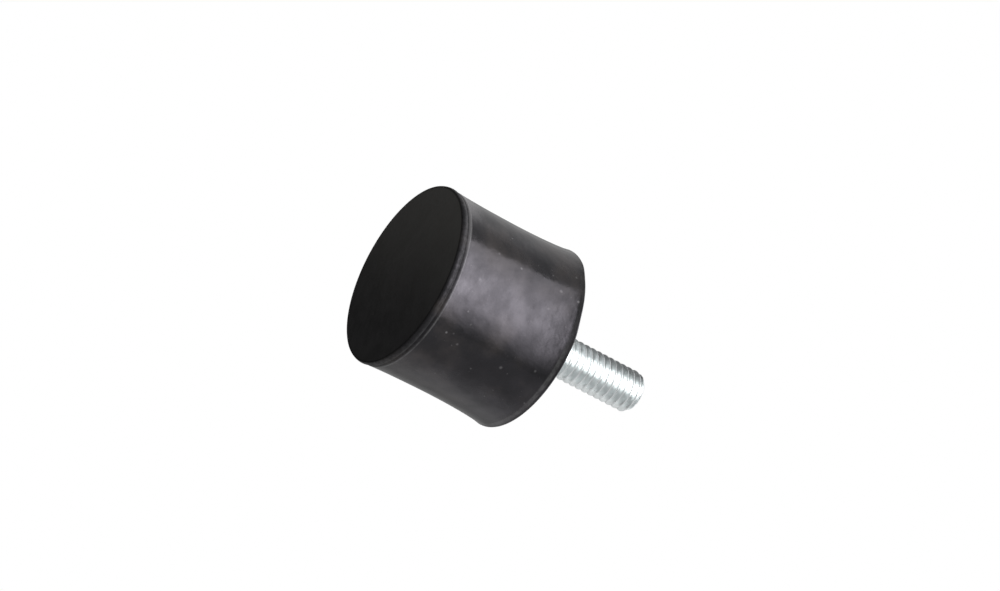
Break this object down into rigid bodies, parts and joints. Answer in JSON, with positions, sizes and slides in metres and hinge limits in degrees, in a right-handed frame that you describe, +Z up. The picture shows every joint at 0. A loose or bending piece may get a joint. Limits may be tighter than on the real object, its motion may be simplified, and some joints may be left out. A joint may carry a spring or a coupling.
{
  "type": "rubber foot",
  "caption": "Round moulded rubber foot with a hollowed side and a flat face, on a steel plate with a threaded stud.",
  "frame": {"origin": "centre of the flat rubber face that stands on the bench", "axes": "+Z up the stud, away from the flat rubber face"},
  "size_m": [0.025, 0.025, 0.0371],
  "materials": {
    "black_rubber": "moulded, matt with a faint sheen",
    "zinc_plated_steel": "bright zinc plate"
  },
  "bodies": {
    "root": {"rubber_body": "black_rubber", "end_plate": "zinc_plated_steel", "threaded_stud": "zinc_plated_steel"}
  },
  "joints": []
}
